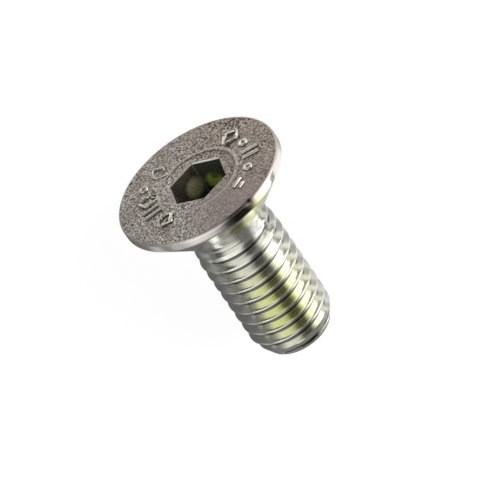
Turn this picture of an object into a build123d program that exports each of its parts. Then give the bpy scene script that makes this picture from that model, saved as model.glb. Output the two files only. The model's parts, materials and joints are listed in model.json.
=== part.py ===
"""M5 x 12 countersunk socket screw, lying on its side as it comes to rest.

The screw lies on the lower edge of its head's rim and on the last full crest of its thread, so its
axis falls a little from the head to the tip. +Z is up, the head's face looks to -Y and the tip points
to +Y. The origin is on the floor, under the middle of the screw. Units are millimetres.
"""

import os
from math import asin, atan2, ceil, cos, floor, hypot, radians, sin, tan

from build123d import *

# Thread: ISO metric, right hand, with the basic 60 degree profile
pitch = 0.8
major_diameter = 4.9
thread_angle = 60

# The thread's phase: how deep under the face a crest would pass the screw's -X side
thread_phase_depth = 2.78

# Head
head_diameter = 9.72
rim_height = 0.54
countersink_angle = 90
face_edge_radius = 0.07
seat_edge_radius = 0.05
neck_fillet_radius = 0.4

# Shank: the whole screw's length counts from the face, the run-out from the end of the cone
overall_length = 11.7
neck_diameter = 4.1
runout_rise_length = 0.25
runout_rise_diameter = 4.6
runout_length = 1.4
tip_diameter = 3.8
tip_chamfer_length = 1.05

# Hexagon socket, with a drilled point under its floor
socket_across_flats = 3.08
socket_depth = 2.3
socket_turn = 36.6
socket_point_angle = 118
socket_mouth_chamfer = 0.06

# Flat left by the punch around the socket's mouth
punch_mark_diameter = 4.66
punch_mark_depth = 0.03

# Radii and thread depths worked out from the sizes above
major_radius = major_diameter / 2
head_radius = head_diameter / 2
neck_radius = neck_diameter / 2
runout_rise_radius = runout_rise_diameter / 2
tip_radius = tip_diameter / 2
socket_radius = socket_across_flats / 2
sharp_height = pitch / 2 / tan(radians(thread_angle / 2))
sharp_crest_radius = major_radius + sharp_height / 8
root_radius = major_radius - sharp_height * 5 / 8
ridge_foot_radius = sharp_crest_radius - sharp_height * 15 / 16
ridge_foot_half_width = pitch / 2 * 15 / 16
crest_half_width = pitch / 16

# Depths under the face
seat_end = rim_height + (head_radius - neck_radius) / tan(radians(countersink_angle / 2))
runout_start = seat_end - runout_rise_length
runout_step = seat_end + runout_rise_length
runout_end = seat_end + runout_length
tip_chamfer_start = overall_length - tip_chamfer_length
socket_point = socket_depth + socket_radius / tan(radians(socket_point_angle / 2))

# The last crest that is at full height where it passes the screw's underside, 3/4 of a turn from -X
full_turns = floor((tip_chamfer_start - thread_phase_depth) / pitch - 3 / 4) + 3 / 4
last_crest = thread_phase_depth + full_turns * pitch + crest_half_width

# How the screw lies: the rim's seat edge and that crest are at one height
seat_edge_depth = rim_height - seat_edge_radius * tan(radians(countersink_angle / 4))
contact_drop = head_radius - seat_edge_radius - major_radius
contact_span = last_crest - seat_edge_depth
lie_angle = atan2(contact_drop, contact_span) + asin(seat_edge_radius / hypot(contact_drop, contact_span))
face_height = (
    seat_edge_radius + (head_radius - seat_edge_radius) * cos(lie_angle) + seat_edge_depth * sin(lie_angle)
)
front_reach = face_edge_radius * (1 - cos(lie_angle)) + (head_radius - face_edge_radius) * sin(lie_angle)
back_reach = overall_length * cos(lie_angle) + tip_radius * sin(lie_angle)

# The face's own plane: its normal runs down the axis to the tip, its X is -X and its Y points up
face_plane = Plane(
    origin=(0, (front_reach - back_reach) / 2, face_height),
    x_dir=(-1, 0, 0),
    z_dir=(0, cos(lie_angle), -sin(lie_angle)),
)
# The plane of the half sections: X is a radius, Y is a depth under the face
section_plane = Plane(origin=face_plane.origin, x_dir=face_plane.x_dir, z_dir=-face_plane.y_dir)
screw_axis = Axis(face_plane.origin, face_plane.z_dir)

# One turn of the thread's ridge, a sharp V wound round the core. It starts inside the head
buried_turns = ceil((thread_phase_depth + ridge_foot_half_width - runout_start) / pitch)
turn_start = thread_phase_depth - buried_turns * pitch
with BuildPart() as ridge_turn:
    with BuildSketch(section_plane):
        with Locations((0, turn_start)):
            Polygon(
                (ridge_foot_radius, -ridge_foot_half_width),
                (sharp_crest_radius, 0),
                (ridge_foot_radius, ridge_foot_half_width),
                align=None,
            )
    sweep(path=face_plane.offset(turn_start) * Helix(pitch, pitch, ridge_foot_radius), is_frenet=True)

# Shank: the core with turn after turn round it, wound on past the tip
turn_count = ceil((overall_length + ridge_foot_half_width - turn_start) / pitch)
with BuildPart() as shank:
    with BuildSketch(face_plane.offset(turn_start)):
        Circle(root_radius)
    extrude(amount=turn_count * pitch)
    with Locations(*[screw_axis.direction * pitch * turn for turn in range(turn_count)]):
        add(ridge_turn.part)

    # What is left of it: sinking into the neck at the run-out, flat on the crests, chamfered at the tip
    with BuildSketch(section_plane):
        Polygon(
            (0, runout_start),
            (2 * root_radius - runout_rise_radius, runout_start),
            (runout_rise_radius, runout_step),
            (major_radius, runout_end),
            (major_radius, tip_chamfer_start),
            (tip_radius, overall_length),
            (0, overall_length),
            align=None,
        )
    revolve(axis=screw_axis, mode=Mode.INTERSECT)

with BuildPart() as screw:
    # Head and neck, turned in one outline, with the shank grown into them
    with BuildSketch(section_plane):
        with BuildLine():
            outline = FilletPolyline(
                (0, 0),
                (head_radius, 0),
                (head_radius, rim_height),
                (neck_radius, seat_end),
                (neck_radius, runout_step),
                radius=(face_edge_radius, seat_edge_radius, neck_fillet_radius),
            )
            Polyline(outline @ 1, (0, runout_step), (0, 0))
        make_face()
    revolve(axis=screw_axis)
    add(shank.part)

    # Punch mark on the face, round the socket's mouth
    with BuildSketch(face_plane):
        Circle(punch_mark_diameter / 2)
    extrude(amount=punch_mark_depth, mode=Mode.SUBTRACT)

    # Hexagon socket: broken edges at its mouth, straight walls and a drilled point
    with BuildSketch(face_plane.offset(punch_mark_depth)):
        RegularPolygon(socket_radius + socket_mouth_chamfer, 6, major_radius=False, rotation=socket_turn)
    extrude(amount=socket_mouth_chamfer, taper=45, mode=Mode.SUBTRACT)
    with BuildSketch(face_plane):
        RegularPolygon(socket_radius, 6, major_radius=False, rotation=socket_turn)
    extrude(amount=socket_depth, mode=Mode.SUBTRACT)
    with BuildSketch(section_plane):
        Polygon((0, socket_depth), (socket_radius, socket_depth), (0, socket_point), align=None)
    revolve(axis=screw_axis, mode=Mode.SUBTRACT)

screw.part.label = "countersunk_screw"
os.makedirs("parts", exist_ok=True)
export_step(screw.part, "parts/countersunk_screw.step")
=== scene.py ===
"""The looks of an M5 countersunk socket screw that lies on its side: cold-headed steel with a bright zinc finish."""

import json
from math import atan2, cos, pi, radians, sin, sqrt, tan

import bmesh
import bpy
from mathutils import Matrix, Vector


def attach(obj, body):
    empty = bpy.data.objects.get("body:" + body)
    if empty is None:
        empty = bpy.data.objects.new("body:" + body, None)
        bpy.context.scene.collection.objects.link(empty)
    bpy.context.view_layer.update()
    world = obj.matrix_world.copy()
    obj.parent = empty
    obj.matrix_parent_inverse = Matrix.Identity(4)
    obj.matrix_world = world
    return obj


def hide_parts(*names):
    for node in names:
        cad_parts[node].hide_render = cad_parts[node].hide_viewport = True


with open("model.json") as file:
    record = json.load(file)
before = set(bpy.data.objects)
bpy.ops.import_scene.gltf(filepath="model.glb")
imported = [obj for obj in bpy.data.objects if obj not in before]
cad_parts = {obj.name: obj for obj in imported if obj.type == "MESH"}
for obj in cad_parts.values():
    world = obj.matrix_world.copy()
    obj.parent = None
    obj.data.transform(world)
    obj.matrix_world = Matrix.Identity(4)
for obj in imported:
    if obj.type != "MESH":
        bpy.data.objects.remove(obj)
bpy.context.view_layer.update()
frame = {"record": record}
mm = 0.001


# Head ---------------------------------------------------------------------------------------------
# A disc with a short upright rim and a 90 degree cone under it, upset from the wire in a cold header.
# The punch that drove the hexagon left a shallow round flat at the socket's mouth.
head_radius = 4.86 * mm
rim_height = 0.54 * mm
face_edge_radius = 0.13 * mm
seat_edge_radius = 0.05 * mm
seat_half_angle = radians(45)
mark_radius = 2.33 * mm
mark_depth = 0.03 * mm
mark_edge = 0.09 * mm
lip_height = 0.02 * mm
join_depth = 3.1 * mm
turning_steps = 192

socket_half_width = 1.54 * mm
socket_depth = 2.3 * mm
socket_turn = radians(36.6)
mouth_chamfer = 0.06 * mm
drill_radius = 1.5 * mm
drill_half_angle = radians(59)

# The screw's own frame: Z runs down the axis from the face to the tip, X is -X of the model
socket_mount = next(m for m in frame["record"]["mounts"] if m["name"] == "hex_socket")
outward = Vector(socket_mount["axis"]).normalized()
face_centre = Vector(socket_mount["pos_m"]) + outward * mark_depth
across = Vector((-1, 0, 0))
tipward = -outward
upward = tipward.cross(across)
screw_frame = Matrix.Translation(face_centre) @ Matrix((across, upward, tipward)).transposed().to_4x4()


def cone_radius(depth):
    return head_radius - (depth - rim_height) * tan(seat_half_angle)


def wire(bm, points):
    """A chain of edges in the half section: each point is a radius and a depth."""
    verts = [bm.verts.new((radius, 0, depth)) for radius, depth in points]
    for one, other in zip(verts, verts[1:]):
        bm.edges.new((one, other))
    return verts


def round_corners(bm, places, offset, segments):
    """Rounds the corners of a wire that lie at these radii and depths."""
    corners = [min(bm.verts, key=lambda v: (v.co - Vector((radius, 0, depth))).length) for radius, depth in places]
    bmesh.ops.bevel(bm, geom=corners, offset=offset, offset_type="OFFSET", segments=segments, profile=0.5,
                    affect="VERTICES", material=-1)


def round_shape(radius):
    return lambda angle: radius


def hexagon_shape(half_width):
    """A hexagon's outline as a radius for each angle, with its corners turned to the socket's place."""
    return lambda angle: half_width / cos((angle - socket_turn) % (pi / 3) - pi / 6)


def draw_loop(bm, edges, shape, depth):
    """Draws a loop of edges on as a wall, to another outline at a new depth, and gives the wall's far edges."""
    drawn = bmesh.ops.extrude_edge_only(bm, edges=edges)["geom"]
    verts = [g for g in drawn if isinstance(g, bmesh.types.BMVert)]
    for vert in verts:
        angle = atan2(vert.co.y, vert.co.x)
        vert.co = shape(angle) * Vector((cos(angle), sin(angle), 0)) + Vector((0, 0, depth))
    return [g for g in drawn if isinstance(g, bmesh.types.BMEdge) and all(v in verts for v in g.verts)]


body = bmesh.new()
wire(body, (
    (mark_radius - mark_edge, mark_depth),
    (mark_radius, -lip_height),
    (mark_radius + mark_edge, -lip_height),
    (mark_radius + 2 * mark_edge, 0),
    (head_radius, 0),
    (head_radius, rim_height),
    (cone_radius(join_depth), join_depth),
))
round_corners(body, [(head_radius, rim_height)], seat_edge_radius * tan(seat_half_angle / 2), 3)
round_corners(body, [(head_radius, 0)], face_edge_radius, 5)
longest = sorted(body.edges, key=lambda e: -e.calc_length())
bmesh.ops.subdivide_edges(body, edges=longest[:1], cuts=15)
bmesh.ops.subdivide_edges(body, edges=longest[1:2], cuts=23)
bmesh.ops.subdivide_edges(body, edges=longest[2:3], cuts=3)
bmesh.ops.spin(body, geom=body.verts[:] + body.edges[:], cent=(0, 0, 0), axis=(0, 0, 1), dvec=(0, 0, 0),
               angle=2 * pi, steps=turning_steps, use_merge=True, use_duplicate=False)
bmesh.ops.rotate(body, verts=body.verts, cent=(0, 0, 0), matrix=Matrix.Rotation(socket_turn, 3, "Z"))

# Hexagon socket: mouth with a broken edge, straight walls, a narrow ledge and the drilled point
ring = [e for e in body.edges if e.is_boundary and max(v.co.z for v in e.verts) < 2 * mark_depth]
for outline, depth in (
    (hexagon_shape(socket_half_width + mouth_chamfer), mark_depth),
    (hexagon_shape(socket_half_width), mark_depth + mouth_chamfer),
    (hexagon_shape(socket_half_width), socket_depth),
    (round_shape(drill_radius), socket_depth),
    (round_shape(drill_radius / 1000), socket_depth + drill_radius / tan(drill_half_angle)),
):
    ring = draw_loop(body, ring, outline, depth)
bmesh.ops.remove_doubles(body, verts=list({v for e in ring for v in e.verts}), dist=drill_radius / 100)


# Thread -------------------------------------------------------------------------------------------
# A rolled right-hand M5 x 0.8 thread with a rounded root. Under the head it sinks into the neck, and
# at the tip the wire's chamfer cuts down its last turns.
pitch = 0.8 * mm
crest_radius = 2.45 * mm
phase_depth = 2.78 * mm
screw_length = 11.7 * mm
half_root, half_crest = pitch / 8, pitch / 16
root_radius = crest_radius - (pitch / 2 - half_crest - half_root) / tan(radians(30))
turn_steps = 144
neck_radius = 2.05 * mm
neck_fillet = 0.4 * mm
rise_start, rise_radius = join_depth, 2 * root_radius - 2.3 * mm
rise_end, rise_top = 3.6 * mm, 2.3 * mm
full_depth = 4.75 * mm
chamfer_start = 10.65 * mm
tip_radius = 1.9 * mm
tip_edge = 0.05 * mm


def between(value, points):
    """Straight-line value of a chain of (place, amount) pairs."""
    for (low, start), (high, end) in zip(points, points[1:]):
        if value <= high:
            share = max(0, (value - low) / (high - low))
            return start + (end - start) * share
    return points[-1][1]


seat_end = rim_height + (head_radius - neck_radius) / tan(seat_half_angle)
fillet_reach = neck_fillet * tan(seat_half_angle / 2)
fillet_centre = (neck_radius + neck_fillet, seat_end + fillet_reach)


def neck_surface(depth):
    """Radius of the cone, its fillet and the neck, which fades out under the first turn."""
    if depth > fillet_centre[1]:
        return neck_radius - max(0, depth - rise_end) * 0.5
    reach = fillet_centre[1] - depth
    if reach < neck_fillet * sin(seat_half_angle):
        return fillet_centre[0] - sqrt(neck_fillet ** 2 - reach ** 2)
    return cone_radius(depth)


def blank_surface(depth):
    """Largest radius that the rolled thread reaches at a depth."""
    return between(depth, (
        (rise_start, rise_radius), (rise_end, rise_top), (full_depth, crest_radius),
        (chamfer_start, crest_radius), (screw_length - tip_edge, tip_radius + tip_edge / 2),
        (screw_length, tip_radius - tip_edge / 2),
    ))


thread = bmesh.new()
buried_turns = 1
turns = 14
start_depth = phase_depth - pitch / 2 - buried_turns * pitch
feet = [(root_radius, start_depth + half_root), (root_radius, start_depth + pitch - half_root)]
tops = [(crest_radius, start_depth + pitch / 2 - half_crest), (crest_radius, start_depth + pitch / 2 + half_crest)]
ridge = wire(thread, (
    (root_radius, start_depth), feet[0], tops[0], tops[1], feet[1], (root_radius, start_depth + pitch),
))
flanks = [thread.edges.get((ridge[1], ridge[2])), thread.edges.get((ridge[3], ridge[4]))]
bmesh.ops.subdivide_edges(thread, edges=flanks, cuts=5)
round_corners(thread, feet, 0.03 * mm, 3)
round_corners(thread, tops, 0.012 * mm, 2)
bmesh.ops.spin(thread, geom=thread.verts[:] + thread.edges[:], cent=(0, 0, 0), axis=(0, 0, 1),
               dvec=(0, 0, pitch / turn_steps), angle=2 * pi, steps=turn_steps, use_merge=False, use_duplicate=False)
one_turn = thread.verts[:] + thread.edges[:] + thread.faces[:]
for turn in range(1, turns):
    copied = bmesh.ops.duplicate(thread, geom=one_turn)["geom"]
    bmesh.ops.translate(thread, verts=[g for g in copied if isinstance(g, bmesh.types.BMVert)],
                        vec=(0, 0, turn * pitch))
bmesh.ops.remove_doubles(thread, verts=thread.verts, dist=1e-7)
for place, direction in ((join_depth, 1), (screw_length, -1)):
    bmesh.ops.bisect_plane(thread, geom=thread.verts[:] + thread.edges[:] + thread.faces[:], dist=1e-8,
                           plane_co=(0, 0, place), plane_no=(0, 0, direction), clear_inner=True)
bmesh.ops.bisect_plane(thread, geom=thread.verts[:] + thread.edges[:] + thread.faces[:], dist=1e-8,
                       plane_co=(0, 0, screw_length - tip_edge), plane_no=(0, 0, 1))
for vert in thread.verts:
    radius = vert.co.xy.length
    wanted = max(min(radius, blank_surface(vert.co.z)), neck_surface(vert.co.z))
    vert.co.xy *= wanted / radius
tip_rim = [e for e in thread.edges if e.is_boundary and min(v.co.z for v in e.verts) > screw_length - 1e-7]
tip_inner = draw_loop(thread, tip_rim, round_shape(tip_radius * 0.9), screw_length)
bmesh.ops.edgeloop_fill(thread, edges=tip_inner)

# The thread's skin is grown into the head's, so the whole screw is one closed skin
thread_mesh = bpy.data.meshes.new("thread")
thread.to_mesh(thread_mesh)
body.from_mesh(thread_mesh)
joint = [e for e in body.edges if e.is_boundary]
print("joint edges", len(joint), "nonmanifold", sum(not e.is_manifold for e in body.edges))
bmesh.ops.bridge_loops(body, edges=joint)
bmesh.ops.remove_doubles(body, verts=body.verts, dist=1e-8)
bmesh.ops.recalc_face_normals(body, faces=body.faces)
print("open edges", sum(not e.is_manifold for e in body.edges), "faces", len(body.faces), "volume", body.calc_volume(signed=True) * 1e9)

# A small knock in the face's edge, from the works bin
nick_middle = Vector((1.60 * mm, 4.62 * mm, 0))
nick_reach = 0.34 * mm
nick_depth = 0.09 * mm
for vert in body.verts:
    near = 1 - (vert.co - nick_middle).length / nick_reach
    if near > 0:
        vert.co += (Vector((0, 0, 1)) - vert.co.normalized() * 0.6) * nick_depth * near ** 1.5

# How high each place stands in the thread, from 0 at the root to 1 at the crest: the roots are painted dark as
# painted shade, and the crests are brightened by handling wear and a painted highlight
ridge_height = body.verts.layers.float.new("ridge_height")
region = {"face": 0, "zinc": 1, "socket": 2}
for vert in body.verts:
    radius, depth = vert.co.xy.length, vert.co.z
    if depth < join_depth or radius < neck_surface(depth) + 1e-7 or depth > screw_length - tip_edge * 1.1:
        vert[ridge_height] = 0.5
    elif radius > blank_surface(depth) - 1e-7 and not full_depth < depth < chamfer_start:
        vert[ridge_height] = 0.7
    else:
        vert[ridge_height] = min(1, max(0, (radius - root_radius) / (crest_radius - root_radius)))
for side in body.faces:
    middle = side.calc_center_median()
    if middle.z < face_edge_radius and middle.xy.length > mark_radius - mark_edge * 2:
        side.material_index = region["face"]
    elif middle.xy.length < socket_half_width / cos(pi / 6) + mouth_chamfer * 0.2 and middle.z < join_depth + mm:
        side.material_index = region["socket"]
    elif middle.z < mark_depth + mouth_chamfer:
        side.material_index = region["face"]
    else:
        side.material_index = region["zinc"]
bmesh.ops.transform(body, matrix=screw_frame, verts=body.verts)

screw_mesh = bpy.data.meshes.new("screw_skin")
body.to_mesh(screw_mesh)
screw_mesh.shade_smooth()
screw_mesh.set_sharp_from_angle(angle=radians(32))
screw = bpy.data.objects.new("screw_skin", screw_mesh)
bpy.context.scene.collection.objects.link(screw)


class Nodes:
    """Short ways to add and join nodes in one tree."""

    def __init__(self, tree):
        self.tree = tree

    def add(self, kind, values=(), **settings):
        node = self.tree.nodes.new(kind)
        for name, value in settings.items():
            setattr(node, name, value)
        for socket, value in dict(values).items():
            self.set(node.inputs[socket], value)
        return node

    def set(self, socket, value):
        """Gives a socket a value, or joins another node's output to it."""
        if isinstance(value, bpy.types.NodeSocket):
            self.tree.links.new(value, socket)
        else:
            socket.default_value = value

    def place_group(self, group, **values):
        """Adds a node group with its own values and gives its outputs."""
        node = self.add("ShaderNodeGroup", node_tree=group)
        for name, value in values.items():
            self.set(node.inputs[name.replace("_", " ")], value)
        return node.outputs

    def ramp(self, value, low, high, start=0.0, end=1.0, soft=True):
        """A value between two places, taken to a start and an end amount."""
        return self.add("ShaderNodeMapRange", {"Value": value, "From Min": low, "From Max": high, "To Min": start,
                                               "To Max": end},
                        interpolation_type="SMOOTHSTEP" if soft else "LINEAR").outputs["Result"]

    def band(self, value, middle, inner, outer):
        """1 near a middle amount, falling to 0 at an outer distance from it."""
        away = self.math("ABSOLUTE", self.math("SUBTRACT", value, middle))
        return self.ramp(away, inner, outer, 1.0, 0.0)

    def patch(self, place, middle, inner, outer):
        """A soft round patch about a point of the model."""
        away = self.add("ShaderNodeVectorMath", {0: place, 1: middle}, operation="DISTANCE").outputs["Value"]
        return self.ramp(away, inner, outer, 1.0, 0.0)

    def math(self, operation, *values):
        return self.add("ShaderNodeMath", dict(enumerate(values)), operation=operation).outputs[0]

    def sum(self, *values):
        total = values[0]
        for value in values[1:]:
            total = self.math("ADD", total, value)
        return total

    def times(self, *values):
        product = values[0]
        for value in values[1:]:
            product = self.math("MULTIPLY", product, value)
        return product

    def mix(self, share, one, other):
        return self.add("ShaderNodeMix", {"Factor": share, "A": one, "B": other},
                        data_type="RGBA").outputs["Result"]

    def coat(self, under, *layers):
        """Lays colours over one another, each with the share that it covers."""
        for share, colour in layers:
            under = self.mix(share, under, colour)
        return under


def new_group(name, inputs, outputs):
    """An empty node group with its helper, and the sockets inside it that carry its inputs and its outputs."""
    tree = bpy.data.node_groups.new(name, "ShaderNodeTree")
    for way, sockets in (("INPUT", inputs), ("OUTPUT", outputs)):
        for label, kind in sockets.items():
            tree.interface.new_socket(name=label, in_out=way, socket_type=kind)
    inside = Nodes(tree)
    return inside, inside.add("NodeGroupInput").outputs, inside.add("NodeGroupOutput").inputs


# Where a place is on the screw: its depth under the face, its radius, and how far it is to each side
where, given, gives = new_group("screw_place", {"Place": "NodeSocketVector"}, {
    "Depth": "NodeSocketFloat", "Radius": "NodeSocketFloat", "Across": "NodeSocketFloat", "Up": "NodeSocketFloat"})
from_face = where.add("ShaderNodeVectorMath", {0: given["Place"], 1: face_centre}, operation="SUBTRACT").outputs[0]
for name, direction in (("Depth", tipward), ("Across", across), ("Up", upward)):
    share = where.add("ShaderNodeVectorMath", {0: from_face, 1: direction}, operation="DOT_PRODUCT").outputs["Value"]
    where.set(gives[name], share)
beside = where.add("ShaderNodeVectorMath", {0: from_face, 1: tipward}, operation="CROSS_PRODUCT").outputs[0]
where.set(gives["Radius"], where.add("ShaderNodeVectorMath", {0: beside}, operation="LENGTH").outputs["Value"])
screw_place = where.tree

# The grain of the plating: fine speckle, cloudy patches and a few small pits
grain, given, gives = new_group(
    "plating_grain",
    {"Place": "NodeSocketVector", "Speckle Scale": "NodeSocketFloat", "Patch Scale": "NodeSocketFloat",
     "Pit Scale": "NodeSocketFloat"},
    {"Speckle": "NodeSocketFloat", "Patches": "NodeSocketFloat", "Pits": "NodeSocketFloat"})
for name, scale, detail in (("Speckle", "Speckle Scale", 3), ("Patches", "Patch Scale", 1.5)):
    noise = grain.add("ShaderNodeTexNoise", {"Vector": given["Place"], "Scale": given[scale], "Detail": detail,
                                             "Roughness": 0.6})
    grain.set(gives[name], noise.outputs["Fac"])
cells = grain.add("ShaderNodeTexVoronoi", {"Vector": given["Place"], "Scale": given["Pit Scale"]}).outputs
kept = grain.ramp(grain.add("ShaderNodeSeparateColor", {"Color": cells["Color"]}).outputs[0], 0.55, 0.65)
grain.set(gives["Pits"], grain.times(kept, grain.ramp(cells["Distance"], 0.04, 0.11, 1.0, 0.0)))
plating_grain = grain.tree


def metal(name, **grain_scales):
    """A new metal with its nodes helper, its place on the screw, its grain and its shader."""
    material = bpy.data.materials.new(name)
    material.use_nodes = True
    nodes = Nodes(material.node_tree)
    shader = material.node_tree.nodes["Principled BSDF"].inputs
    shader["Metallic"].default_value = 1
    place = nodes.add("ShaderNodeTexCoord").outputs["Object"]
    return (material, nodes, shader, place, nodes.place_group(screw_place, Place=place),
            nodes.place_group(plating_grain, Place=place, **grain_scales))


def screw_point(across_mm, up_mm, depth_mm):
    """A point of the model from its place in the screw's own frame."""
    return screw_frame @ (Vector((across_mm, up_mm, depth_mm)) * mm)


# Face: scale-pitted steel under thin zinc, brown-grey and matt, rubbed smooth where it was handled, with painted
# light and shade
face_material, nodes, shader, place, on_screw, grain = metal("struck_face", Speckle_Scale=8500, Patch_Scale=650,
                                                             Pit_Scale=1300)
pits = nodes.ramp(grain["Speckle"], 0.43, 0.58)
# Painted light and shade: the pitted face is painted pale at low Across and dark brown at high Across, as if lit
# from one side
face_painted_light_side = nodes.mix(pits, (0.20, 0.165, 0.135, 1), (1.0, 0.95, 0.88, 1))
face_painted_shade_side = nodes.mix(pits, (0.085, 0.065, 0.055, 1), (0.60, 0.51, 0.44, 1))
pitted = nodes.mix(nodes.ramp(on_screw["Across"], -2.5 * mm, 3.0 * mm), face_painted_light_side, face_painted_shade_side)
rubbed = nodes.patch(place, screw_point(0.9, 3.6, 0), 1.0 * mm, 3.0 * mm)
# Painted shade: a dark patch just inside the face's edge, where it turns towards the shaded seat
face_edge_shade = nodes.patch(place, screw_point(0.9, 4.78, 0), 0.5 * mm, 1.25 * mm)
# Painted shade: a near-black spot in the hollow of the nick
nick_shade = nodes.patch(place, screw_point(1.66, 4.52, 0.04), 0.07 * mm, 0.20 * mm)
# Painted highlight: a pale ring on the punch mark's raised lip
lip = nodes.band(on_screw["Radius"], 2.42 * mm, 0.04 * mm, 0.14 * mm)
# Painted shade: a dark ring in the groove at the foot of the punch mark's step
groove = nodes.band(on_screw["Radius"], 2.24 * mm, 0.03 * mm, 0.10 * mm)
# Painted highlight: a pale band along the face's rounded edge
face_edge_highlight = nodes.ramp(on_screw["Radius"], 4.70 * mm, 4.82 * mm)
nodes.set(shader["Base Color"], nodes.coat(
    pitted,
    (nodes.ramp(grain["Patches"], 0.4, 0.65, 0.0, 0.45), (0.46, 0.39, 0.33, 1)),
    (nodes.times(rubbed, 0.72), (0.42, 0.345, 0.315, 1)),
    (nodes.times(groove, 0.5), (0.16, 0.13, 0.11, 1)),
    (nodes.times(lip, 0.45), (0.80, 0.75, 0.66, 1)),
    (nodes.times(face_edge_highlight, 0.8), (0.86, 0.80, 0.75, 1)),
    (nodes.times(face_edge_shade, nodes.ramp(on_screw["Radius"], 4.66 * mm, 4.76 * mm), 0.85), (0.05, 0.035, 0.03, 1)),
    (nodes.times(nick_shade, 0.9), (0.04, 0.03, 0.03, 1)),
    (nodes.times(grain["Pits"], 0.6), (0.10, 0.08, 0.06, 1)),
))
nodes.set(shader["Roughness"], nodes.ramp(grain["Speckle"], 0.3, 0.7, 0.48, 0.30))
relief = nodes.add("ShaderNodeBump", {"Height": nodes.times(grain["Speckle"], nodes.ramp(rubbed, 0, 1, 1.0, 0.4)),
                                      "Distance": 0.03 * mm, "Strength": 0.9})
nodes.set(shader["Normal"], relief.outputs["Normal"])

# Zinc: bright plating, pinkish on the rim, with a yellow-green bloom that grows towards the tip on the upper side,
# painted shade in the roots, on the seat, the rim and the neck, and a painted highlight on the worn crests
zinc_material, nodes, shader, place, on_screw, grain = metal("bright_zinc", Speckle_Scale=3600, Patch_Scale=520,
                                                             Pit_Scale=1500)
height = nodes.add("ShaderNodeAttribute", attribute_name="ridge_height").outputs["Fac"]
bloom_side = nodes.ramp(nodes.sum(nodes.times(on_screw["Across"], 0.25), nodes.times(on_screw["Up"], 0.95)),
                        0.5 * mm, 2.2 * mm)
bloom = nodes.times(nodes.ramp(on_screw["Depth"], 4.2 * mm, 7.5 * mm),
                    nodes.ramp(on_screw["Depth"], 9.4 * mm, 11.0 * mm, 1.0, 0.15), bloom_side)
blotches = nodes.add("ShaderNodeTexNoise", {"Vector": place, "Scale": 1500, "Detail": 2.5,
                                            "Roughness": 0.6}).outputs["Fac"]
seat_stain = nodes.times(nodes.patch(place, screw_point(1.5, 3.75, 1.35), 0.3 * mm, 2.6 * mm),
                         nodes.ramp(blotches, 0.36, 0.58, 0.25, 1.0))
# Painted shade: a dark blotchy patch on the seat cone just under the rim
seat_shade = nodes.times(nodes.patch(place, screw_point(0.15, 4.15, 1.22), 0.1 * mm, 1.1 * mm),
                        nodes.ramp(blotches, 0.58, 0.42, 0.15, 1.0))
# Painted shade: a dark blotchy patch at the neck, under the head
neck_shade = nodes.times(nodes.patch(place, screw_point(1.6, 1.35, 3.75), 0.35 * mm, 1.3 * mm),
                         nodes.ramp(blotches, 0.55, 0.42, 0.4, 1.0))
rim = nodes.ramp(on_screw["Depth"], 0.80 * mm, 0.50 * mm)
# Painted shade: a dark patch on the rim, beside the shaded seat
rim_shade = nodes.patch(place, screw_point(0.95, 4.77, 0.35), 0.35 * mm, 1.25 * mm)
nodes.set(shader["Base Color"], nodes.coat(
    (0.82, 0.82, 0.79, 1),
    (nodes.ramp(grain["Patches"], 0.40, 0.65, 0.0, 0.35), (0.78, 0.80, 0.60, 1)),
    (nodes.times(bloom, nodes.ramp(blotches, 0.38, 0.62, 0.95, 0.65)),
     nodes.mix(nodes.ramp(on_screw["Across"], -0.2 * mm, 1.8 * mm), (0.80, 0.83, 0.42, 1), (0.93, 0.93, 0.66, 1))),
    (rim, nodes.mix(nodes.ramp(on_screw["Across"], 0, 3 * mm), (0.92, 0.86, 0.81, 1), (0.97, 0.95, 0.86, 1))),
    (nodes.times(seat_stain, 0.95), (0.96, 0.95, 0.30, 1)),
    (nodes.times(seat_shade, 0.85), (0.07, 0.065, 0.04, 1)),
    (nodes.times(neck_shade, 0.75), (0.16, 0.155, 0.12, 1)),
    # Painted highlight over handling wear: the crests are painted pale
    (nodes.ramp(height, 0.90, 1.0, 0.0, 0.85), (0.93, 0.92, 0.86, 1)),
    # Painted shade: the thread's roots are painted near black
    (nodes.ramp(height, 0.07, 0.0, 0.0, 0.85), (0.06, 0.055, 0.04, 1)),
    (nodes.times(rim_shade, rim, 0.88), (0.05, 0.035, 0.028, 1)),
    # Painted shade: the lower flanks and roots are painted near black at high Across
    (nodes.times(nodes.ramp(height, 0.40, 0.20), nodes.ramp(on_screw["Across"], 1.75 * mm, 2.0 * mm), 0.92),
     (0.05, 0.045, 0.035, 1)),
    (nodes.times(grain["Pits"], 0.7), (0.12, 0.11, 0.07, 1)),
))
nodes.set(shader["Roughness"], nodes.ramp(grain["Speckle"], 0.3, 0.7, 0.13, 0.19))
relief = nodes.add("ShaderNodeBump", {"Height": grain["Speckle"], "Distance": 0.001 * mm, "Strength": 0.5})
nodes.set(shader["Normal"], relief.outputs["Normal"])

# Socket: the same zinc, dull, brown and olive in patches, with painted light and shade on its walls and its mouth's
# edge
socket_material, nodes, shader, place, on_screw, grain = metal("socket_walls", Speckle_Scale=4200, Patch_Scale=900,
                                                               Pit_Scale=1500)
corner_across = 0.20 * mm
# Painted shade: the wall past the corner is painted darker and greener
shaded_far_wall = nodes.ramp(on_screw["Across"], corner_across - 0.02 * mm, corner_across + 0.02 * mm)
# Painted highlight: a pale line along the corner between the two walls
corner = nodes.band(on_screw["Across"], corner_across, 0.01 * mm, 0.06 * mm)
# Painted light: a pale beige pool on the near wall
beige_painted_light = nodes.patch(place, screw_point(-0.30, -1.5, 1.30), 0.35 * mm, 0.75 * mm)
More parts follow.
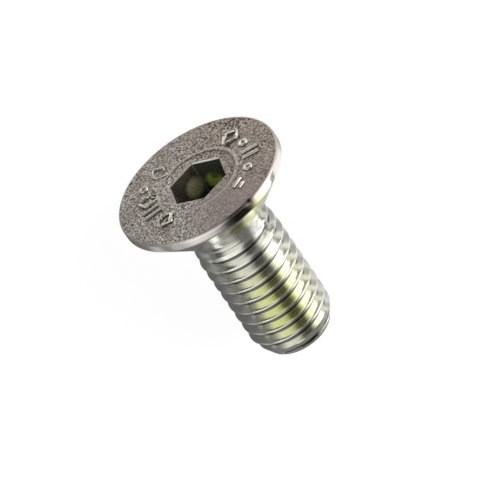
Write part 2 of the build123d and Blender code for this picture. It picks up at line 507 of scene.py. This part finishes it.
# Painted highlight: a bright yellow-green patch on the far wall, with a dark olive spot in it that leaves it
# C-shaped
green = nodes.patch(place, screw_point(0.80, -1.3, 1.50), 0.30 * mm, 0.70 * mm)
highlight_notch = nodes.patch(place, screw_point(0.95, -1.25, 1.15), 0.12 * mm, 0.34 * mm)
# Painted highlight: the mouth's broken edge is painted near white on one side and grey on the other
broken_edge = nodes.ramp(on_screw["Depth"], 0.13 * mm, 0.08 * mm)
lit_edge = nodes.ramp(nodes.sum(nodes.times(on_screw["Across"], 0.9), nodes.times(on_screw["Up"], -0.42)),
                      0.7 * mm, 1.0 * mm)
nodes.set(shader["Base Color"], nodes.coat(
    (0.12, 0.095, 0.075, 1),
    (nodes.ramp(grain["Patches"], 0.45, 0.60, 0.0, 0.4), (0.16, 0.19, 0.09, 1)),
    (nodes.times(shaded_far_wall, 0.9), (0.09, 0.11, 0.07, 1)),
    (nodes.times(beige_painted_light, 0.98), (0.86, 0.80, 0.46, 1)),
    (nodes.times(green, 0.98), (0.72, 0.86, 0.16, 1)),
    (nodes.times(highlight_notch, 0.8), (0.10, 0.14, 0.05, 1)),
    (nodes.times(corner, 0.6), (0.5, 0.52, 0.42, 1)),
    (nodes.times(broken_edge, 0.95), nodes.mix(lit_edge, (0.55, 0.52, 0.46, 1), (1.0, 0.98, 0.92, 1))),
))
nodes.set(shader["Metallic"], nodes.mix(broken_edge, (0.15, 0.15, 0.15, 1),
                                        (1, 1, 1, 1)))
nodes.set(shader["Roughness"], nodes.sum(nodes.ramp(grain["Speckle"], 0.3, 0.7, 0.22, 0.34),
                                         nodes.times(broken_edge, 0.2)))
relief = nodes.add("ShaderNodeBump", {"Height": grain["Patches"], "Distance": 0.01 * mm, "Strength": 0.5})
nodes.set(shader["Normal"], relief.outputs["Normal"])

for material in (face_material, zinc_material, socket_material):
    screw_mesh.materials.append(material)
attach(screw, "root")
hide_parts("countersunk_screw")


# Raised marks on the face -------------------------------------------------------------------------
# Generic signs in low relief, pressed up by hollows in the header's punch: lozenges, short bars and
# small rings on a circle round the socket. Their tops are rubbed bright, and their feet are painted near black as
# painted shade.
mark_width = 0.20 * mm
mark_height = 0.11 * mm
mark_sink = 0.02 * mm
mark_round = 0.075 * mm


def raise_mark(bm, faces, angle, radius):
    """Draws flat faces up into a mark with rounded tops, and moves it to its place on the face."""
    verts = {v for f in faces for v in f.verts}
    drawn = bmesh.ops.extrude_face_region(bm, geom=faces)["geom"]
    tops = [g for g in drawn if isinstance(g, bmesh.types.BMVert)]
    bmesh.ops.translate(bm, verts=tops, vec=(0, 0, -mark_height - mark_sink))
    top_faces = {g for g in drawn if isinstance(g, bmesh.types.BMFace)}
    rims = [e for e in {e for f in top_faces for e in f.edges} if sum(f in top_faces for f in e.link_faces) == 1]
    rounded = bmesh.ops.bevel(bm, geom=rims, offset=mark_round, offset_type="OFFSET", segments=3, profile=0.5,
                              affect="EDGES", material=-1)["verts"]
    own = [v for v in verts.union(tops, rounded) if v.is_valid]
    bmesh.ops.transform(bm, verts=own, matrix=Matrix.Rotation(angle, 4, "Z")
                        @ Matrix.Translation((radius, 0, mark_sink)))


def ring_mark(bm, corners, tall, wide, angle, radius):
    """A closed outline with this many corners, as tall as the radius and as wide as the circle run."""
    outline = bmesh.ops.create_circle(bm, cap_ends=False, segments=corners, radius=0.5)["verts"]
    bmesh.ops.scale(bm, verts=outline, vec=(tall - mark_width, wide - mark_width, 1))
    if corners == 4:
        outline = bmesh.ops.bevel(bm, geom=outline, offset=mark_width / 2, offset_type="OFFSET", segments=3,
                                  profile=0.5, affect="VERTICES", material=-1)["verts"]
    inside = list({e for v in outline for e in v.link_edges})
    drawn = bmesh.ops.extrude_edge_only(bm, edges=inside)["geom"]
    outer = [g for g in drawn if isinstance(g, bmesh.types.BMVert)]
    bmesh.ops.scale(bm, verts=outer, vec=((tall + mark_width) / (tall - mark_width),
                                          (wide + mark_width) / (wide - mark_width), 1))
    raise_mark(bm, [g for g in drawn if isinstance(g, bmesh.types.BMFace)], angle, radius)


def bar_mark(bm, tall, wide, shift, angle, radius):
    """A short straight bar, shifted sideways from its place."""
    corners = bmesh.ops.create_grid(bm, x_segments=1, y_segments=1, size=0.5)["verts"]
    bmesh.ops.scale(bm, verts=corners, vec=(tall, wide, 1))
    bmesh.ops.translate(bm, verts=corners, vec=(0, shift, 0))
    raise_mark(bm, list({f for v in corners for f in v.link_faces}), angle, radius)


marks = bmesh.new()
for degrees, radius in ((-119, 3.04), (-162.5, 3.0), (149, 3.01), (-30, 3.23)):
    ring_mark(marks, 4, 1.20 * mm, 0.92 * mm, radians(degrees), radius * mm)
for degrees, radius in ((-141, 3.47), (-9, 3.21), (34, 3.18)):
    ring_mark(marks, 12, 0.42 * mm, 0.40 * mm, radians(degrees), radius * mm)
for degrees, radius in ((177, 2.99), (11, 3.26)):
    for side in (-1, 1):
        bar_mark(marks, 1.0 * mm, mark_width, side * 0.25 * mm, radians(degrees), radius * mm)
bar_mark(marks, mark_width, 0.80 * mm, 0, radians(56), 3.0 * mm)
bar_mark(marks, mark_width, 0.46 * mm, 0, radians(58), 3.4 * mm)
bmesh.ops.recalc_face_normals(marks, faces=marks.faces)
rubbed_top_shaded_foot = marks.verts.layers.float.new("rubbed_top_shaded_foot")
for vert in marks.verts:
    vert[rubbed_top_shaded_foot] = min(1, max(0, -vert.co.z / mark_height))
bmesh.ops.transform(marks, matrix=screw_frame, verts=marks.verts)
marks_mesh = bpy.data.meshes.new("face_marks")
marks.to_mesh(marks_mesh)
marks_mesh.shade_smooth()
marks_mesh.set_sharp_from_angle(angle=radians(40))
face_marks = bpy.data.objects.new("face_marks", marks_mesh)
bpy.context.scene.collection.objects.link(face_marks)

mark_material, nodes, shader, place, on_screw, grain = metal("rubbed_marks_shaded_feet", Speckle_Scale=6500, Patch_Scale=1600,
                                                             Pit_Scale=1300)
top = nodes.add("ShaderNodeAttribute", attribute_name="rubbed_top_shaded_foot").outputs["Fac"]
bright = nodes.mix(nodes.ramp(grain["Patches"], 0.35, 0.62), (1.0, 0.98, 0.90, 1), (0.82, 0.77, 0.68, 1))
# Painted shade: each mark is painted near black at its foot, rising to its rubbed bright top
nodes.set(shader["Base Color"], nodes.mix(nodes.ramp(top, 0.1, 0.55), (0.05, 0.04, 0.03, 1), bright))
nodes.set(shader["Roughness"], nodes.ramp(grain["Speckle"], 0.3, 0.7, 0.26, 0.16))
relief = nodes.add("ShaderNodeBump", {"Height": grain["Speckle"], "Distance": 0.01 * mm, "Strength": 0.5})
nodes.set(shader["Normal"], relief.outputs["Normal"])
marks_mesh.materials.append(mark_material)
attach(face_marks, "root")


# Floor, light and camera --------------------------------------------------------------------------
floor_mesh = bpy.data.meshes.new("floor")
floor_shape = bmesh.new()
bmesh.ops.create_grid(floor_shape, x_segments=1, y_segments=1, size=0.5)
floor_shape.to_mesh(floor_mesh)
floor = bpy.data.objects.new("floor", floor_mesh)
bpy.context.scene.collection.objects.link(floor)
paper = bpy.data.materials.new("pale_paper")
paper.use_nodes = True
nodes = Nodes(paper.node_tree)
surface = paper.node_tree.nodes["Principled BSDF"].inputs
surface["Base Color"].default_value = (0.28, 0.28, 0.28, 1)
surface["Roughness"].default_value = 0.9
surface["Emission Color"].default_value = (1, 1, 1, 1)
rays = nodes.add("ShaderNodeLightPath")
spot = nodes.add("ShaderNodeTexCoord").outputs["Object"]
# The floor glows only for mirror and glass rays: painted light in patches on the screw's lit side, in front and
# behind, dimmed near the head as painted shade, all seen only in the screw's reflections
lit_side = nodes.patch(spot, (-27 * mm, -3 * mm, 0), 17 * mm, 32 * mm)
lit_front = nodes.patch(spot, (1 * mm, -16 * mm, 0), 6 * mm, 14 * mm)
lit_back = nodes.patch(spot, (20 * mm, 15 * mm, 0), 9 * mm, 17 * mm)
under_head = nodes.patch(spot, (-8 * mm, -6 * mm, 0), 2.5 * mm, 6.5 * mm)
lit_side = nodes.times(lit_side, nodes.ramp(under_head, 0, 1, 1.0, 0.35))
mirrored = nodes.times(nodes.math("MAXIMUM", rays.outputs["Is Glossy Ray"], rays.outputs["Is Transmission Ray"]),
                       nodes.sum(0.02, nodes.times(lit_side, 0.76), nodes.times(lit_front, 0.33), nodes.times(lit_back, 0.3)))
nodes.set(surface["Emission Strength"], nodes.math("MAXIMUM", nodes.times(rays.outputs["Is Camera Ray"], 0.86), mirrored))
floor_mesh.materials.append(paper)

# The light tent: a low wide softbox on the screw's right, a smaller one high on its left, a dim roof,
# and a dark gap beyond the tip. Each has a direction, an inner and an outer half angle and a strength
world = bpy.data.worlds.new("light_tent")
world.use_nodes = True
nodes = Nodes(world.node_tree)
direction = nodes.add("ShaderNodeTexCoord").outputs["Generated"]


def lobe(azimuth, elevation, inner, outer):
    """Share of a round panel seen in a direction: azimuth counts from -Y towards +X."""
    flat = cos(radians(elevation))
    middle = (flat * sin(radians(azimuth)), -flat * cos(radians(azimuth)), sin(radians(elevation)))
    facing = nodes.add("ShaderNodeVectorMath", {0: direction, 1: middle}, operation="DOT_PRODUCT").outputs["Value"]
    return nodes.ramp(facing, cos(radians(outer)), cos(radians(inner)))


roof = 0.2
softboxes = ((-90, -4, 31, 66, 1.9), (112, 52, 18, 42, 0.86), (128, 6, 14, 32, 0.25))
gaps = ((201, 43, 11, 24, 0.70), (52, -8, 20, 45, 0.7))
lamps = ((50, 18, 6, 15, 1.8),)
glow = nodes.sum(roof, *(nodes.times(lobe(*panel[:4]), panel[4]) for panel in softboxes))
for gap in gaps:
    glow = nodes.times(glow, nodes.sum(1, nodes.times(lobe(*gap[:4]), -gap[4])))
glow = nodes.sum(glow, *(nodes.times(lobe(*lamp[:4]), lamp[4]) for lamp in lamps))
rays = nodes.add("ShaderNodeLightPath")
shown = nodes.mix(rays.outputs["Is Camera Ray"], glow, (1, 1, 1, 1))
nodes.tree.links.new(shown, world.node_tree.nodes["Background"].inputs["Color"])
bpy.context.scene.world = world

view_from_axis = radians(57.0)
view_roll = radians(-34.287)
view_distance = 409.9 * mm
aim_right = 2.297 * mm
aim_down = 3.222 * mm
to_camera = outward * cos(view_from_axis) + upward * sin(view_from_axis)
along = (tipward + to_camera * cos(view_from_axis)) / sin(view_from_axis)
right = across * cos(view_roll) - along * sin(view_roll)
down = across * sin(view_roll) + along * cos(view_roll)
camera_data = bpy.data.cameras.new("camera")
camera_data.lens = 571.5
camera_data.clip_start = 0.01
camera = bpy.data.objects.new("camera", camera_data)
aim = face_centre + right * aim_right + down * aim_down
camera.matrix_world = (Matrix.Translation(aim + to_camera * view_distance)
                       @ Matrix((right, -down, to_camera)).transposed().to_4x4())
bpy.context.scene.collection.objects.link(camera)
bpy.context.scene.camera = camera
bpy.context.scene.view_settings.view_transform = "Standard"
